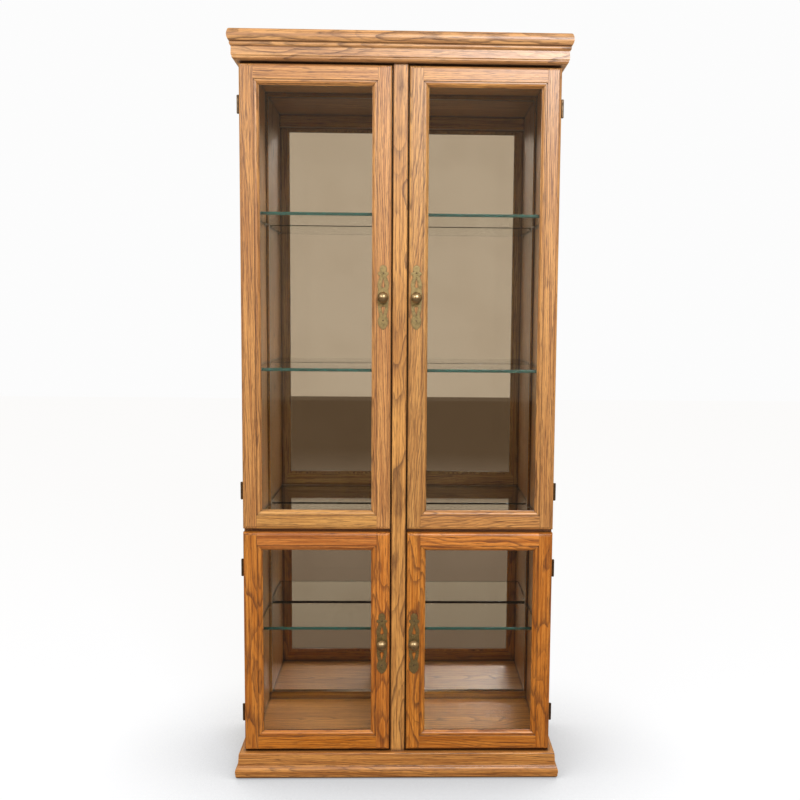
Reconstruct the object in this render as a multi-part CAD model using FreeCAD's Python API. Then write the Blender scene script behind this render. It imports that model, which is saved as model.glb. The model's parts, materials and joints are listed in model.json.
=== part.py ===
"""China cabinet: oak case with four glazed doors, a mirrored back and glass shelves.

Millimetres. The origin is on the floor under the middle of the case, +X to the viewer's
right, -Y out of the front and +Z up. Every piece is written as its own STEP file.
"""
import FreeCAD, Part
import math
import os

V = FreeCAD.Vector

# Overall size
TOTAL_HEIGHT = 1930.0
TOTAL_DEPTH = 380.0
CASE_HALF_WIDTH = 405.0
MOULDING_REACH = 26.0

# Crown and base
CROWN_HEIGHT = 73.0
BASE_HEIGHT = 68.0

# Case
SIDE_THICKNESS = 20.0
PANEL_THICKNESS = 19.0
COVER_THICKNESS = 12.0
BACK_THICKNESS = 6.0
BACK_RECESS = 1.0
BACK_RABBET_WIDTH = 10.0
MIRROR_THICKNESS = 4.0
DADO_DEPTH = 6.0
RAIL_DEPTH = 19.0
TOP_RAIL_HEIGHT = 38.0
MIDDLE_RAIL_HEIGHT = 35.0
DECK_TOP = 83.0
CEILING = 1851.0
POST_HALF_WIDTH = 19.0
POST_SETBACK = 3.0
POST_EDGE_ROUND = 4.0
STOP_HALF_WIDTH = 30.0
STOP_THICKNESS = 5.0
STRIP_DEPTH = 10.0
STRIP_HEIGHTS = {"bottom": 21.0, "top": 12.0}
STRIP_SIDE_WIDTH = 8.0
PLAY = 0.5

# Glass shelves: height of the top face, and how far the front edge is behind the case front
SHELF_THICKNESS = 8.0
SHELVES = {
    "top_shelf": (1489.0, 6.0),
    "middle_shelf": (1089.0, 6.0),
    "glass_deck": (675.0, 11.5),
    "lower_shelf": (376.0, 80.0),
}
SHELF_SIDE_GAP = 2.0
SHELF_REAR_GAP = 2.0
PIN_RADIUS = 2.5
PIN_DEPTH = 8.0
PAD_REACH = 11.0
PAD_WIDTH = 10.0
PAD_THICKNESS = 1.6
PIN_INSET_FRONT = 45.0
PIN_INSET_REAR = 35.0

# Doors
DOOR_THICKNESS = 20.0
DOOR_OUTER = 406.0
DOOR_INNER = 21.5
DOOR_GAP = 2.2
STILE_WIDTH = 50.0
STICKING_WIDTH = 14.0
EDGE_WIDTH = 7.0
EDGE_QUIRK = 1.2
RABBET_WIDTH = 8.0
RABBET_FACE = 10.0
GLASS_THICKNESS = 3.0
GLASS_PLAY = 1.0
TENON_LENGTH = 22.0
TENON_THICKNESS = 7.0
TENON_FACE = 6.0
TENON_INSET = 5.0
DOORS = {
    "upper": {"bottom": 670.0, "top": 1852.0, "bottom_rail": 50.0, "top_rail": 52.0, "knob": 1273.0},
    "lower": {"bottom": 70.5, "top": 661.0, "bottom_rail": 52.5, "top_rail": 48.0, "knob": 363.0},
}

# Knobs and back plates
KNOB_X = 42.5
KNOB_RADIUS = 14.0
KNOB_LENGTH = 25.0
KNOB_TIP_RADIUS = 1.0
PLATE_THICKNESS = 1.8
PLATE_RIM_THICKNESS = 1.0
PLATE_BORDER = 1.8
PLATE_HALF_LENGTH = 82.0
SHANK_RADIUS = 2.0
SHANK_CLEARANCE = 0.2
SCREW_HEAD_RADIUS = 4.0
SCREW_HEAD_HEIGHT = 1.8
PLATE_PIN_RADIUS = 1.8
PLATE_PIN_OFFSETS = (62.0, -58.5)

# Hinges
HINGE_HEIGHT = 44.0
HINGE_INSET = 98.0
HINGE_AXIS_X = 410.5
BARREL_RADIUS = 3.5
PIN_SHAFT_RADIUS = 1.25
PIN_RUNNING_CLEARANCE = 0.05
LEAF_THICKNESS = 1.0
LEAF_SCREW_X = 396.5
LEAF_SCREW_OFFSET = 13.0
LEAF_HOLE_RADIUS = 1.7
LEAF_SINK_RADIUS = 3.0
LEAF_INNER_X = 388.0
LEAF_OUTER_X = 405.5
KNUCKLE_LENGTHS = (14.0, 16.0, 14.0)
KNUCKLE_GAP = 0.2
PIN_HEAD_RADIUS = 2.8
PIN_HEAD_HEIGHT = 1.2

# Planes worked out from the dimensions above
REAR = TOTAL_DEPTH / 2
MOUNT_FRONT = -TOTAL_DEPTH / 2 + MOULDING_REACH
DOOR_FACE = MOUNT_FRONT - 1.0
DOOR_REAR = DOOR_FACE + DOOR_THICKNESS
CASE_FRONT = DOOR_REAR + DOOR_GAP
INNER_HALF_WIDTH = CASE_HALF_WIDTH - SIDE_THICKNESS
CROWN_BOTTOM = TOTAL_HEIGHT - CROWN_HEIGHT
COVER_BOTTOM = TOTAL_HEIGHT - COVER_THICKNESS
BACK_REAR = REAR - BACK_RECESS
BACK_FRONT = BACK_REAR - BACK_THICKNESS
MIRROR_FACE = BACK_FRONT - MIRROR_THICKNESS
STRIP_FACE = MIRROR_FACE - STRIP_DEPTH
HINGE_AXIS_Y = (DOOR_REAR + CASE_FRONT) / 2
SIDES = {"left": -1, "right": 1}


def box(x_range, y_range, z_range):
    """Block between two corners given as (low, high) pairs."""
    size = [high - low for low, high in (x_range, y_range, z_range)]
    return Part.makeBox(*size, V(x_range[0], y_range[0], z_range[0]))


def face(path, place):
    """Flat face round a path: one point per straight run, a (middle, end) pair per arc."""
    start = place(*path[0])
    here = start
    edges = []
    for step in path[1:]:
        if isinstance(step[0], tuple):
            end = place(*step[1])
            edges.append(Part.Arc(here, place(*step[0]), end).toShape())
        else:
            end = place(*step)
            edges.append(Part.makeLine(here, end))
        here = end
    if here.distanceToPoint(start) > 0.001:
        edges.append(Part.makeLine(here, start))
    return Part.Face(Part.Wire(edges))


def fuse(shapes):
    """One solid from touching or overlapping solids."""
    return shapes[0].multiFuse(shapes[1:]).removeSplitter()


def on_side(shape, side):
    """A shape drawn for the right half, or its mirror image for the left half."""
    if side > 0:
        return shape
    return shape.mirror(V(0, 0, 0), V(1, 0, 0))


def save(name, shape):
    """Write one piece, or one group of like pieces, as a STEP file."""
    shape.exportStep("parts/" + name + ".step")


# ---------------------------------------------------------------- crown and base mouldings

def crown_profile():
    """(reach beyond the case, drop below the top) round the crown's section."""
    return [
        (0.0, 0.0),
        (17.5, 0.0),
        ((21.8, 1.6), (23.8, 5.5)),
        ((MOULDING_REACH, 16.0), (22.4, 28.5)),
        (18.6, 30.5),
        ((20.2, 35.2), (18.6, 40.0)),
        (16.2, 42.5),
        (16.8, 62.5),
        (14.8, 65.0),
        ((13.5, 70.6), (9.0, CROWN_HEIGHT)),
        (0.0, CROWN_HEIGHT),
    ]


def base_profile():
    """(reach beyond the case, drop below the base's top) round the base's section."""
    return [
        (0.0, 0.0),
        (11.5, 0.0),
        ((14.4, 1.0), (15.5, 4.0)),
        (17.0, 31.0),
        ((17.8, 34.4), (20.6, 36.2)),
        ((24.0, 45.0), (23.2, 56.0)),
        ((20.8, 64.8), (13.0, BASE_HEIGHT)),
        (0.0, BASE_HEIGHT),
    ]


def mitre_block(corners, z_range):
    """Upright block over a plan outline, which trims a moulding to its mitres."""
    points = [V(x, y, z_range[0]) for x, y in corners]
    plan = Part.Face(Part.makePolygon(points + points[:1]))
    return plan.extrude(V(0, 0, z_range[1] - z_range[0]))


def front_moulding(profile, top, height, backing_top):
    """Front run, mitred at both ends, with the block behind it that closes over the doors."""
    far = MOULDING_REACH + 10
    run = face(profile, lambda out, drop: V(-CASE_HALF_WIDTH - far, MOUNT_FRONT - out, top - drop))
    run = run.extrude(V(2 * (CASE_HALF_WIDTH + far), 0, 0))
    corners = [
        (-CASE_HALF_WIDTH, MOUNT_FRONT),
        (-CASE_HALF_WIDTH - far, MOUNT_FRONT - far),
        (CASE_HALF_WIDTH + far, MOUNT_FRONT - far),
        (CASE_HALF_WIDTH, MOUNT_FRONT),
    ]
    run = run.common(mitre_block(corners, (top - height - 1, top + 1)))
    case_width = (-CASE_HALF_WIDTH, CASE_HALF_WIDTH)
    backing = box(case_width, (MOUNT_FRONT, CASE_FRONT), (top - height, backing_top))
    return fuse([run, backing])


def side_moulding(profile, top, height, side):
    """Side return, mitred at the front and square at the back."""
    far = MOULDING_REACH + 10
    run = face(profile, lambda out, drop: V(CASE_HALF_WIDTH + out, MOUNT_FRONT - far, top - drop))
    run = run.extrude(V(0, REAR - MOUNT_FRONT + far, 0))
    corners = [
        (CASE_HALF_WIDTH, MOUNT_FRONT),
        (CASE_HALF_WIDTH + far, MOUNT_FRONT - far),
        (CASE_HALF_WIDTH + far, REAR),
        (CASE_HALF_WIDTH, REAR),
    ]
    return on_side(run.common(mitre_block(corners, (top - height - 1, top + 1))), side)


def make_mouldings():
    save("crown_front", front_moulding(crown_profile(), TOTAL_HEIGHT, CROWN_HEIGHT, COVER_BOTTOM))
    save("base_front", front_moulding(base_profile(), BASE_HEIGHT, BASE_HEIGHT, BASE_HEIGHT))
    for name, side in SIDES.items():
        save("crown_" + name, side_moulding(crown_profile(), TOTAL_HEIGHT, CROWN_HEIGHT, side))
        save("base_" + name, side_moulding(base_profile(), BASE_HEIGHT, BASE_HEIGHT, side))


# ---------------------------------------------------------------- case

def pin_rows(setback):
    """Y of the front and rear shelf pins under a shelf set back from the case front."""
    return (CASE_FRONT + setback + PIN_INSET_FRONT, STRIP_FACE - PIN_INSET_REAR)


def pin_axis_z(shelf_top):
    """Height of the pins that carry a shelf."""
    return shelf_top - SHELF_THICKNESS - PAD_THICKNESS - PIN_RADIUS


def pin_hole(y, z):
    """Blind hole for a shelf pin in the right side panel."""
    return Part.makeCylinder(PIN_RADIUS, PIN_DEPTH, V(INNER_HALF_WIDTH, y, z), V(1, 0, 0))


def side_panel(side):
    """Side panel with dados for the panels, a rabbet for the back and shelf pin holes."""
    depth = (CASE_FRONT, REAR)
    panel = box((INNER_HALF_WIDTH, CASE_HALF_WIDTH), depth, (0, COVER_BOTTOM))
    dado = (INNER_HALF_WIDTH, INNER_HALF_WIDTH + DADO_DEPTH)
    rabbet = (INNER_HALF_WIDTH, INNER_HALF_WIDTH + BACK_RABBET_WIDTH)
    cuts = [
        box(dado, (CASE_FRONT, BACK_FRONT), (DECK_TOP - PANEL_THICKNESS, DECK_TOP)),
        box(dado, (CASE_FRONT, BACK_FRONT), (CEILING, CEILING + PANEL_THICKNESS)),
        box(rabbet, (BACK_FRONT, REAR), (0, COVER_BOTTOM)),
    ]
    for shelf_top, setback in SHELVES.values():
        cuts += [pin_hole(y, pin_axis_z(shelf_top)) for y in pin_rows(setback)]
    return on_side(panel.cut(cuts), side)


def wide_panel(bottom):
    """Horizontal panel let into the dados of both sides."""
    half = INNER_HALF_WIDTH + DADO_DEPTH
    return box((-half, half), (CASE_FRONT, BACK_FRONT), (bottom, bottom + PANEL_THICKNESS))


def middle_rail():
    """Rail behind the gap between the doors, rabbeted for the glass deck's front edge."""
    deck_top, setback = SHELVES["glass_deck"]
    width = (-INNER_HALF_WIDTH, INNER_HALF_WIDTH)
    rail = box(width, (CASE_FRONT, CASE_FRONT + RAIL_DEPTH), (deck_top - MIDDLE_RAIL_HEIGHT, deck_top))
    ledge_front = CASE_FRONT + setback - PLAY
    rabbet = box(width, (ledge_front, CASE_FRONT + RAIL_DEPTH), (deck_top - SHELF_THICKNESS, deck_top))
    return rail.cut(rabbet)


def make_case():
    for name, side in SIDES.items():
        save(name + "_side_panel", side_panel(side))
    save("bottom_deck", wide_panel(DECK_TOP - PANEL_THICKNESS))
    save("top_panel", wide_panel(CEILING))
    inside = (-INNER_HALF_WIDTH, INNER_HALF_WIDTH)
    rail_depth = (CASE_FRONT, CASE_FRONT + RAIL_DEPTH)
    save("top_rail", box(inside, rail_depth, (CEILING - TOP_RAIL_HEIGHT, CEILING)))
    save("middle_rail", middle_rail())
    save("centre_post", centre_post())
    cover_width = (-CASE_HALF_WIDTH, CASE_HALF_WIDTH)
    save("top_cover", box(cover_width, (MOUNT_FRONT, REAR), (COVER_BOTTOM, TOTAL_HEIGHT)))
    half_back = INNER_HALF_WIDTH + BACK_RABBET_WIDTH
    back_height = (BASE_HEIGHT / 2, COVER_BOTTOM)
    save("back_board", box((-half_back, half_back), (BACK_FRONT, BACK_REAR), back_height))


def centre_post():
    """Post between the doors, with thin stops behind it that the latch stiles close over."""
    front = DOOR_FACE + POST_SETBACK
    height = (BASE_HEIGHT, CROWN_BOTTOM)
    post = box((-POST_HALF_WIDTH, POST_HALF_WIDTH), (front, CASE_FRONT), height)
    edges = [e for e in post.Edges if e.BoundBox.YMax < front + 0.1 and e.BoundBox.ZLength > 1]
    deck_top = SHELVES["glass_deck"][0]
    stop_heights = [
        (DECK_TOP, deck_top - MIDDLE_RAIL_HEIGHT),
        (deck_top, CEILING - TOP_RAIL_HEIGHT),
    ]
    depth = (CASE_FRONT, CASE_FRONT + STOP_THICKNESS)
    stops = [box((-STOP_HALF_WIDTH, STOP_HALF_WIDTH), depth, span) for span in stop_heights]
    return fuse([post.makeFillet(POST_EDGE_ROUND, edges)] + stops)


def make_mirror():
    half = INNER_HALF_WIDTH - PLAY
    save("mirror", box((-half, half), (MIRROR_FACE, BACK_FRONT), (DECK_TOP, CEILING - PLAY)))
    depth = (STRIP_FACE, MIRROR_FACE)
    inside = (-INNER_HALF_WIDTH, INNER_HALF_WIDTH)
    low = DECK_TOP + STRIP_HEIGHTS["bottom"]
    high = CEILING - STRIP_HEIGHTS["top"]
    strips = [box(inside, depth, (DECK_TOP, low)), box(inside, depth, (high, CEILING))]
    for side in SIDES.values():
        upright = box((INNER_HALF_WIDTH - STRIP_SIDE_WIDTH, INNER_HALF_WIDTH), depth, (low, high))
        strips.append(on_side(upright, side))
    save("mirror_strips", Part.makeCompound(strips))


# ---------------------------------------------------------------- shelves

def shelf_pin(y, shelf_top):
    """Pin in the right side panel with a flat pad under the glass."""
    z = pin_axis_z(shelf_top)
    shaft = Part.makeCylinder(PIN_RADIUS, PIN_DEPTH + 2, V(INNER_HALF_WIDTH - 2, y, z), V(1, 0, 0))
    pad_bottom = z - PIN_RADIUS
    pad_top = shelf_top - SHELF_THICKNESS
    reach = (INNER_HALF_WIDTH - PAD_REACH, INNER_HALF_WIDTH)
    across = (y - PAD_WIDTH / 2, y + PAD_WIDTH / 2)
    pad = box(reach, across, (pad_top - PAD_THICKNESS, pad_top))
    heel = box((INNER_HALF_WIDTH - 2, INNER_HALF_WIDTH), across, (pad_bottom, pad_top))
    return fuse([shaft, pad, heel])


def make_shelves():
    half = INNER_HALF_WIDTH - SHELF_SIDE_GAP
    pins = []
    for name, (shelf_top, setback) in SHELVES.items():
        depth = (CASE_FRONT + setback, STRIP_FACE - SHELF_REAR_GAP)
        save(name, box((-half, half), depth, (shelf_top - SHELF_THICKNESS, shelf_top)))
        for side in SIDES.values():
            pins += [on_side(shelf_pin(y, shelf_top), side) for y in pin_rows(setback)]
    save("shelf_pins", Part.makeCompound(pins))


# ---------------------------------------------------------------- doors

def sticking_profile(width):
    """(distance from the outer edge, depth behind the face) round the moulded inner edge."""
    start = width - STICKING_WIDTH
    rabbet = width - RABBET_WIDTH
    return [
        (start, 2.6),
        (start + 1.8, 2.6),
        ((start + 9.0, 4.2), (start + 12.2, 8.2)),
        (width, 8.8),
        (width, RABBET_FACE),
        (rabbet, RABBET_FACE),
        (rabbet, DOOR_THICKNESS),
        (start, DOOR_THICKNESS),
    ]


def edge_waste_profile():
    """Section cut from an outer front edge, which leaves a quarter round below a small step."""
    middle = EDGE_WIDTH * (1 - math.sqrt(0.5))
    return [
        (-1.0, -1.0),
        (EDGE_WIDTH, -1.0),
        (EDGE_WIDTH, EDGE_QUIRK),
        ((middle, EDGE_QUIRK + middle), (0.0, EDGE_QUIRK + EDGE_WIDTH)),
        (-1.0, EDGE_QUIRK + EDGE_WIDTH),
    ]


def stop_profile(width):
    """Section of a glass stop, which fills the rabbet behind the glass."""
    rabbet = width - RABBET_WIDTH
    glass_rear = RABBET_FACE + GLASS_THICKNESS
    return [
        (rabbet, glass_rear),
        (width, glass_rear),
        (width, DOOR_THICKNESS - 3.0),
        (width - 3.0, DOOR_THICKNESS),
        (rabbet, DOOR_THICKNESS),
    ]


class Frame:
    """The right-hand door frame of one level: its edges, its opening and its four members."""

    def __init__(self, level):
        self.low = level["bottom"]
        self.high = level["top"]
        self.widths = {
            "hinge": STILE_WIDTH,
            "latch": STILE_WIDTH,
            "bottom": level["bottom_rail"],
            "top": level["top_rail"],
        }
        self.open_x = (DOOR_INNER + STILE_WIDTH, DOOR_OUTER - STILE_WIDTH)
        self.open_z = (self.low + level["bottom_rail"], self.high - level["top_rail"])

    def place(self, member, along):
        """Map (distance from the outer edge, depth behind the face) into the cabinet."""
        return {
            "hinge": lambda u, t: V(DOOR_OUTER - u, DOOR_FACE + t, along),
            "latch": lambda u, t: V(DOOR_INNER + u, DOOR_FACE + t, along),
            "bottom": lambda u, t: V(along, DOOR_FACE + t, self.low + u),
            "top": lambda u, t: V(along, DOOR_FACE + t, self.high - u),
        }[member]

    def mitred(self, member, profile, band):
        """A strip of this profile along one edge of the opening, mitred across its band."""
        (x0, x1), (z0, z1) = self.open_x, self.open_z
        upright = member in ("hinge", "latch")
        start, end = (z0 - band, z1 + band) if upright else (x0 - band, x1 + band)
        run = V(0, 0, end - start) if upright else V(end - start, 0, 0)
        strip = face(profile, self.place(member, start)).extrude(run)
        corners = {
            "hinge": [(x1, z0), (x1 + band, z0 - band), (x1 + band, z1 + band), (x1, z1)],
            "latch": [(x0, z0), (x0 - band, z0 - band), (x0 - band, z1 + band), (x0, z1)],
            "bottom": [(x0, z0), (x0 - band, z0 - band), (x1 + band, z0 - band), (x1, z0)],
            "top": [(x0, z1), (x0 - band, z1 + band), (x1 + band, z1 + band), (x1, z1)],
        }[member]
        points = [V(x, DOOR_FACE - 1, z) for x, z in corners]
        trim = Part.Face(Part.makePolygon(points + points[:1])).extrude(V(0, DOOR_THICKNESS + 2, 0))
        return strip.common(trim)

    def sticking(self, member):
        return self.mitred(member, sticking_profile(self.widths[member]), STICKING_WIDTH)

    def stop(self, member):
        return self.mitred(member, stop_profile(self.widths[member]), RABBET_WIDTH)

    def tenons(self, member):
        """The two tenons of a rail, which are also the mortises' shape."""
        low, high = self.rail_span(member)
        depth = (DOOR_FACE + TENON_FACE, DOOR_FACE + TENON_FACE + TENON_THICKNESS)
        height = (low + TENON_INSET, high - TENON_INSET)
        x0, x1 = self.shoulders()
        return [
            box((x0 - TENON_LENGTH, x0), depth, height),
            box((x1, x1 + TENON_LENGTH), depth, height),
        ]

    def shoulders(self):
        """X of the lines where the rails' flat parts meet the stiles."""
        return self.open_x[0] - STICKING_WIDTH, self.open_x[1] + STICKING_WIDTH

    def rail_span(self, member):
        """Lowest and highest Z of a rail's flat part."""
        flat = self.widths[member] - STICKING_WIDTH
        if member == "bottom":
            return self.low, self.low + flat
        return self.high - flat, self.high

    def edge_waste(self, member):
        """What the cutter takes off the door's outline along one of its four edges."""
        upright = member in ("hinge", "latch")
        start, end = (self.low, self.high) if upright else (DOOR_INNER, DOOR_OUTER)
        run = V(0, 0, end - start) if upright else V(end - start, 0, 0)
        return face(edge_waste_profile(), self.place(member, start)).extrude(run)

    def stile(self, member):
        x0, x1 = self.shoulders()
        across = (x1, DOOR_OUTER) if member == "hinge" else (DOOR_INNER, x0)
        block = box(across, (DOOR_FACE, DOOR_REAR), (self.low, self.high))
        waste = [self.edge_waste(edge) for edge in (member, "bottom", "top")]
        block = block.cut(waste + self.tenons("bottom") + self.tenons("top"))
        return fuse([block, self.sticking(member)])

    def rail(self, member):
        block = box(self.shoulders(), (DOOR_FACE, DOOR_REAR), self.rail_span(member))
        block = block.cut(self.edge_waste(member))
        return fuse([block, self.sticking(member)] + self.tenons(member))

    def glass(self):
        grip = RABBET_WIDTH - GLASS_PLAY
        x_range = (self.open_x[0] - grip, self.open_x[1] + grip)
        z_range = (self.open_z[0] - grip, self.open_z[1] + grip)
        face_y = DOOR_FACE + RABBET_FACE
        return box(x_range, (face_y, face_y + GLASS_THICKNESS), z_range)


def y_cylinder(radius, x, z, y_range):
    """Round bar along Y."""
    length = y_range[1] - y_range[0]
    return Part.makeCylinder(radius, length, V(x, y_range[0], z), V(0, 1, 0))


def shank_hole(knob_z):
    """Clearance hole for the knob's screw through the latch stile."""
    radius = SHANK_RADIUS + SHANK_CLEARANCE
    front = DOOR_FACE - PLATE_THICKNESS
    return y_cylinder(radius, KNOB_X, knob_z, (front - 1, DOOR_REAR + 1))


def plate_pin_holes(knob_z, depth):
    """Holes for the two pins that hold the back plate."""
    return [y_cylinder(PLATE_PIN_RADIUS, KNOB_X, knob_z + dz, depth) for dz in PLATE_PIN_OFFSETS]


def plate_outline():
    """(across, above the knob) down the right half of the back plate: a point, then arcs."""
    return [
        (0.0, PLATE_HALF_LENGTH),
        ((6.4, 79.2), (8.8, 72.6)),
        ((8.2, 67.6), (6.6, 65.0)),
        ((10.4, 64.8), (13.6, 61.6)),
        ((12.8, 58.4), (10.2, 56.4)),
        ((8.8, 53.4), (9.2, 50.0)),
        ((12.4, 42.0), (14.4, 33.0)),
        ((13.8, 26.0), (12.6, 20.0)),
        ((14.4, 0.0), (12.8, -20.0)),
        ((12.6, -30.0), (10.8, -39.0)),
        ((9.6, -44.0), (9.2, -49.0)),
        ((11.4, -52.4), (12.6, -57.0)),
        ((9.6, -73.2), (0.0, -PLATE_HALF_LENGTH)),
    ]


def both_halves(right):
    """Closed path from a path of arcs down its right half."""
    starts = [right[0]] + [end for middle, end in right[1:]]
    left = []
    for (middle, end), start in zip(right[1:], starts):
        left.append(((-middle[0], middle[1]), (-start[0], start[1])))
    return right + left[::-1]


def plate_face():
    """Outline of the back plate on the door's face, with its two openings."""
    place = lambda across, above: V(across, DOOR_FACE, above)
    outline = face(both_halves(plate_outline()), place)
    upper = face([(0.0, 50.0), (5.0, 28.5), ((0.0, 24.5), (-5.0, 28.5))], place)
    lower = face([(0.0, -47.0), (5.4, -26.0), ((0.0, -22.0), (-5.4, -26.0))], place)
    return outline.cut([upper, lower]).Faces[0]


def back_plate(knob_z):
    """Pierced plate with its middle raised above a narrow border."""
    outline = plate_face()
    raised = outline.makeOffset2D(-PLATE_BORDER)
    plate = fuse([
        outline.extrude(V(0, -PLATE_RIM_THICKNESS, 0)),
        raised.extrude(V(0, -PLATE_THICKNESS, 0)),
    ])
    plate.translate(V(KNOB_X, 0, knob_z))
    through = (DOOR_FACE - PLATE_THICKNESS - 1, DOOR_FACE + 1)
    return plate.cut([shank_hole(knob_z)] + plate_pin_holes(knob_z, through))


def knob(knob_z):
    """Turned knob with its screw through the stile and the screw's head behind it."""
    stile_rear = -PLATE_THICKNESS - DOOR_THICKNESS
    head_end = stile_rear - SCREW_HEAD_HEIGHT
    path = [
        (0.0, head_end),
        (SCREW_HEAD_RADIUS, head_end),
        (SCREW_HEAD_RADIUS, stile_rear),
        (SHANK_RADIUS, stile_rear),
        (SHANK_RADIUS, 0.0),
        (9.0, 0.0),
        (9.0, 1.6),
        ((6.6, 3.0), (5.4, 6.0)),
        ((5.8, 8.8), (8.2, 10.6)),
        ((12.4, 13.2), (KNOB_RADIUS, 17.0)),
        ((8.1, 22.8), (KNOB_TIP_RADIUS, KNOB_LENGTH)),
        (0.0, KNOB_LENGTH),
    ]
    plate_face = DOOR_FACE - PLATE_THICKNESS
    half = face(path, lambda r, out: V(KNOB_X + r, plate_face - out, knob_z))
    return half.revolve(V(KNOB_X, 0, knob_z), V(0, 1, 0), 360)


def make_doors():
    for level_name, level in DOORS.items():
        frame = Frame(level)
        knob_z = level["knob"]
        cuts = [shank_hole(knob_z)]
        pieces = {
            "hinge_stile": frame.stile("hinge"),
            "latch_stile": frame.stile("latch").cut(cuts),
            "bottom_rail": frame.rail("bottom"),
            "top_rail": frame.rail("top"),
            "glass": frame.glass(),
            "glass_stops": Part.makeCompound([frame.stop(member) for member in frame.widths]),
            "back_plate": back_plate(knob_z),
            "knob": knob(knob_z),
            "hinge_leaves": Part.makeCompound([door_leaf(z) for z in hinge_heights(level)]),
        }
        for side_name, side in SIDES.items():
            for piece, shape in pieces.items():
                save(level_name + "_" + side_name + "_" + piece, on_side(shape, side))


# ---------------------------------------------------------------- hinges

def hinge_heights(level):
    """Z of the middle of a door's two hinges."""
    return level["bottom"] + HINGE_INSET, level["top"] - HINGE_INSET


def knuckle_spans(z):
    """Z range of each knuckle, from the lowest up, with a running gap between them."""
    spans = []
    low = z - HINGE_HEIGHT / 2
    for length in KNUCKLE_LENGTHS:
        spans.append((low + KNUCKLE_GAP / 2, low + length - KNUCKLE_GAP / 2))
        low += length
    return spans


def screw_holes(z, depth, sunk_from):
    """Two countersunk holes through a leaf, opening towards the face at sunk_from."""
    towards = 1 if sunk_from == depth[0] else -1
    holes = []
    for offset in (-LEAF_SCREW_OFFSET, LEAF_SCREW_OFFSET):
        foot = V(LEAF_SCREW_X, sunk_from, z + offset)
        sink = Part.makeCone(LEAF_SINK_RADIUS, LEAF_HOLE_RADIUS, LEAF_THICKNESS, foot, V(0, towards, 0))
        holes.append(sink)
    return holes


def hinge_leaf(z, depth, spans, bore, sunk_from):
    """Leaf plate with its knuckles, bored for the pin and drilled for two screws."""
    height = (z - HINGE_HEIGHT / 2, z + HINGE_HEIGHT / 2)
    solids = [box((LEAF_INNER_X, LEAF_OUTER_X), depth, height)]
    bores = []
    for low, high in spans:
        solids.append(box((LEAF_OUTER_X - 1, HINGE_AXIS_X), depth, (low, high)))
        axis_foot = V(HINGE_AXIS_X, HINGE_AXIS_Y, low)
        solids.append(Part.makeCylinder(BARREL_RADIUS, high - low, axis_foot))
        bores.append(Part.makeCylinder(bore, high - low + 2, axis_foot - V(0, 0, 1)))
    return fuse(solids).cut(bores + screw_holes(z, depth, sunk_from))


def door_leaf(z):
    """Leaf on the back of the door, with the middle knuckle."""
    bore = PIN_SHAFT_RADIUS + PIN_RUNNING_CLEARANCE
    rear = DOOR_REAR + LEAF_THICKNESS
    return hinge_leaf(z, (DOOR_REAR, rear), knuckle_spans(z)[1:2], bore, rear)


def case_leaf(z):
    """Leaf on the side panel's front edge, with the outer knuckles."""
    spans = knuckle_spans(z)[::2]
    front = CASE_FRONT - LEAF_THICKNESS
    return hinge_leaf(z, (front, CASE_FRONT), spans, PIN_SHAFT_RADIUS, front)


def hinge_pin(z):
    """Pin through the three knuckles with a button head at each end."""
    low = knuckle_spans(z)[0][0]
    high = knuckle_spans(z)[-1][1]
    foot = V(HINGE_AXIS_X, HINGE_AXIS_Y, low)
    shaft = Part.makeCylinder(PIN_SHAFT_RADIUS, high - low, foot)
    lower_head = Part.makeCylinder(PIN_HEAD_RADIUS, PIN_HEAD_HEIGHT, foot - V(0, 0, PIN_HEAD_HEIGHT))
    upper_head = Part.makeCylinder(PIN_HEAD_RADIUS, PIN_HEAD_HEIGHT, foot + V(0, 0, high - low))
    return fuse([shaft, lower_head, upper_head])


def make_hinges():
    leaves = []
    pins = []
    for level in DOORS.values():
        for z in hinge_heights(level):
            for side in SIDES.values():
                leaves.append(on_side(case_leaf(z), side))
                pins.append(on_side(hinge_pin(z), side))
    save("case_hinge_leaves", Part.makeCompound(leaves))
    save("hinge_pins", Part.makeCompound(pins))


os.makedirs("parts", exist_ok=True)
make_mouldings()
make_case()
make_mirror()
make_shelves()
make_doors()
make_hinges()
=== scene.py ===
"""China cabinet: finishes, glass, hardware detail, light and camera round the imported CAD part.

Metres, in the CAD part's own frame: the floor is z = 0, -Y is out of the front.
"""

import json
import math
import random

import bmesh
import bpy
from mathutils import Matrix, Vector

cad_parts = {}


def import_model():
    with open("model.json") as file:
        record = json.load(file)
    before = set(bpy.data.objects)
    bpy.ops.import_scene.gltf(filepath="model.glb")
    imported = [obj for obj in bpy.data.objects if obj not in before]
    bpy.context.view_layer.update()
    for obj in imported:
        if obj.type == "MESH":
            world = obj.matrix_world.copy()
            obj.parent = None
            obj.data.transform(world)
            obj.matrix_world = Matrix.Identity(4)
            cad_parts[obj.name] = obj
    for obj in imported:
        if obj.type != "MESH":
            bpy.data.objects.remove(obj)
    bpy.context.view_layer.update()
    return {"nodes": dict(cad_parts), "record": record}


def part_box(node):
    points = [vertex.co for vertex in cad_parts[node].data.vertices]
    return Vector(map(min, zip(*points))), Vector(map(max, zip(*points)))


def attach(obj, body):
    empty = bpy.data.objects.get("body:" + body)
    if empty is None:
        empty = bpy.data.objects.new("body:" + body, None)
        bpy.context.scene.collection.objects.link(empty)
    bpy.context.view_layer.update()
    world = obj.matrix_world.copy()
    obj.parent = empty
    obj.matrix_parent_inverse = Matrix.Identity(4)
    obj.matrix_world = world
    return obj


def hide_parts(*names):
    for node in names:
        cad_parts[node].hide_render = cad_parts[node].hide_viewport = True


MM = 0.001

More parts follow.
